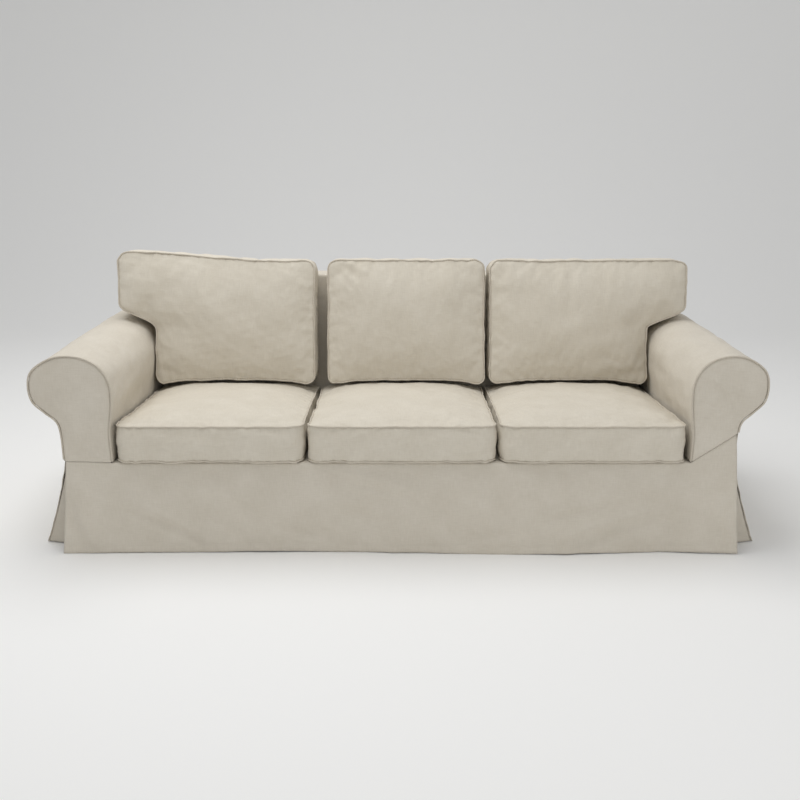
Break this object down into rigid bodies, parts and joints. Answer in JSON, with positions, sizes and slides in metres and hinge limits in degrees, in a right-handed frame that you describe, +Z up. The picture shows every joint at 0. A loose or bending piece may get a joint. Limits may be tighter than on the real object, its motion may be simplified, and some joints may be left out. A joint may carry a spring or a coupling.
{
  "type": "sofa slipcover",
  "caption": "Fitted loose cotton cover for a roll-arm sofa, hollow, with a floor-length skirt and piped, filled seat and back cushions.",
  "frame": {"origin": "on the floor, under the middle of the cover's box, at the level of the skirt's hem", "axes": "+Z up, +X to the right seen from the front, front faces -Y"},
  "size_m": [2.2258, 0.9174, 0.8573],
  "materials": {
    "cover_cloth": "matte",
    "cushion_cloth": "matte",
    "piping": "matte"
  },
  "bodies": {
    "root": {"front_skirt": "cover_cloth", "side_skirt_left": "cover_cloth", "side_skirt_right": "cover_cloth", "corner_pleat_left": "cover_cloth", "corner_pleat_right": "cover_cloth", "back_skirt": "cover_cloth", "arm_front_left": "cover_cloth", "arm_front_right": "cover_cloth", "arm_cover_left": "cover_cloth", "arm_cover_right": "cover_cloth", "outer_arm_left": "cover_cloth", "outer_arm_right": "cover_cloth", "arm_piping_left": "piping", "arm_piping_right": "piping", "seat_deck": "cover_cloth", "inside_back": "cover_cloth", "back_boxing": "cover_cloth", "outside_back": "cover_cloth", "seat_cushion_left": "cushion_cloth", "seat_cushion_middle": "cushion_cloth", "seat_cushion_right": "cushion_cloth", "back_cushion_left": "cushion_cloth", "back_cushion_middle": "cushion_cloth", "back_cushion_right": "cushion_cloth", "seat_cushion_left_piping_lower": "piping", "seat_cushion_left_piping_upper": "piping", "seat_cushion_middle_piping_lower": "piping", "seat_cushion_middle_piping_upper": "piping", "seat_cushion_right_piping_lower": "piping", "seat_cushion_right_piping_upper": "piping", "back_cushion_left_piping_lower": "piping", "back_cushion_left_piping_upper": "piping", "back_cushion_middle_piping_lower": "piping", "back_cushion_middle_piping_upper": "piping", "back_cushion_right_piping_lower": "piping", "back_cushion_right_piping_upper": "piping"}
  },
  "joints": []
}
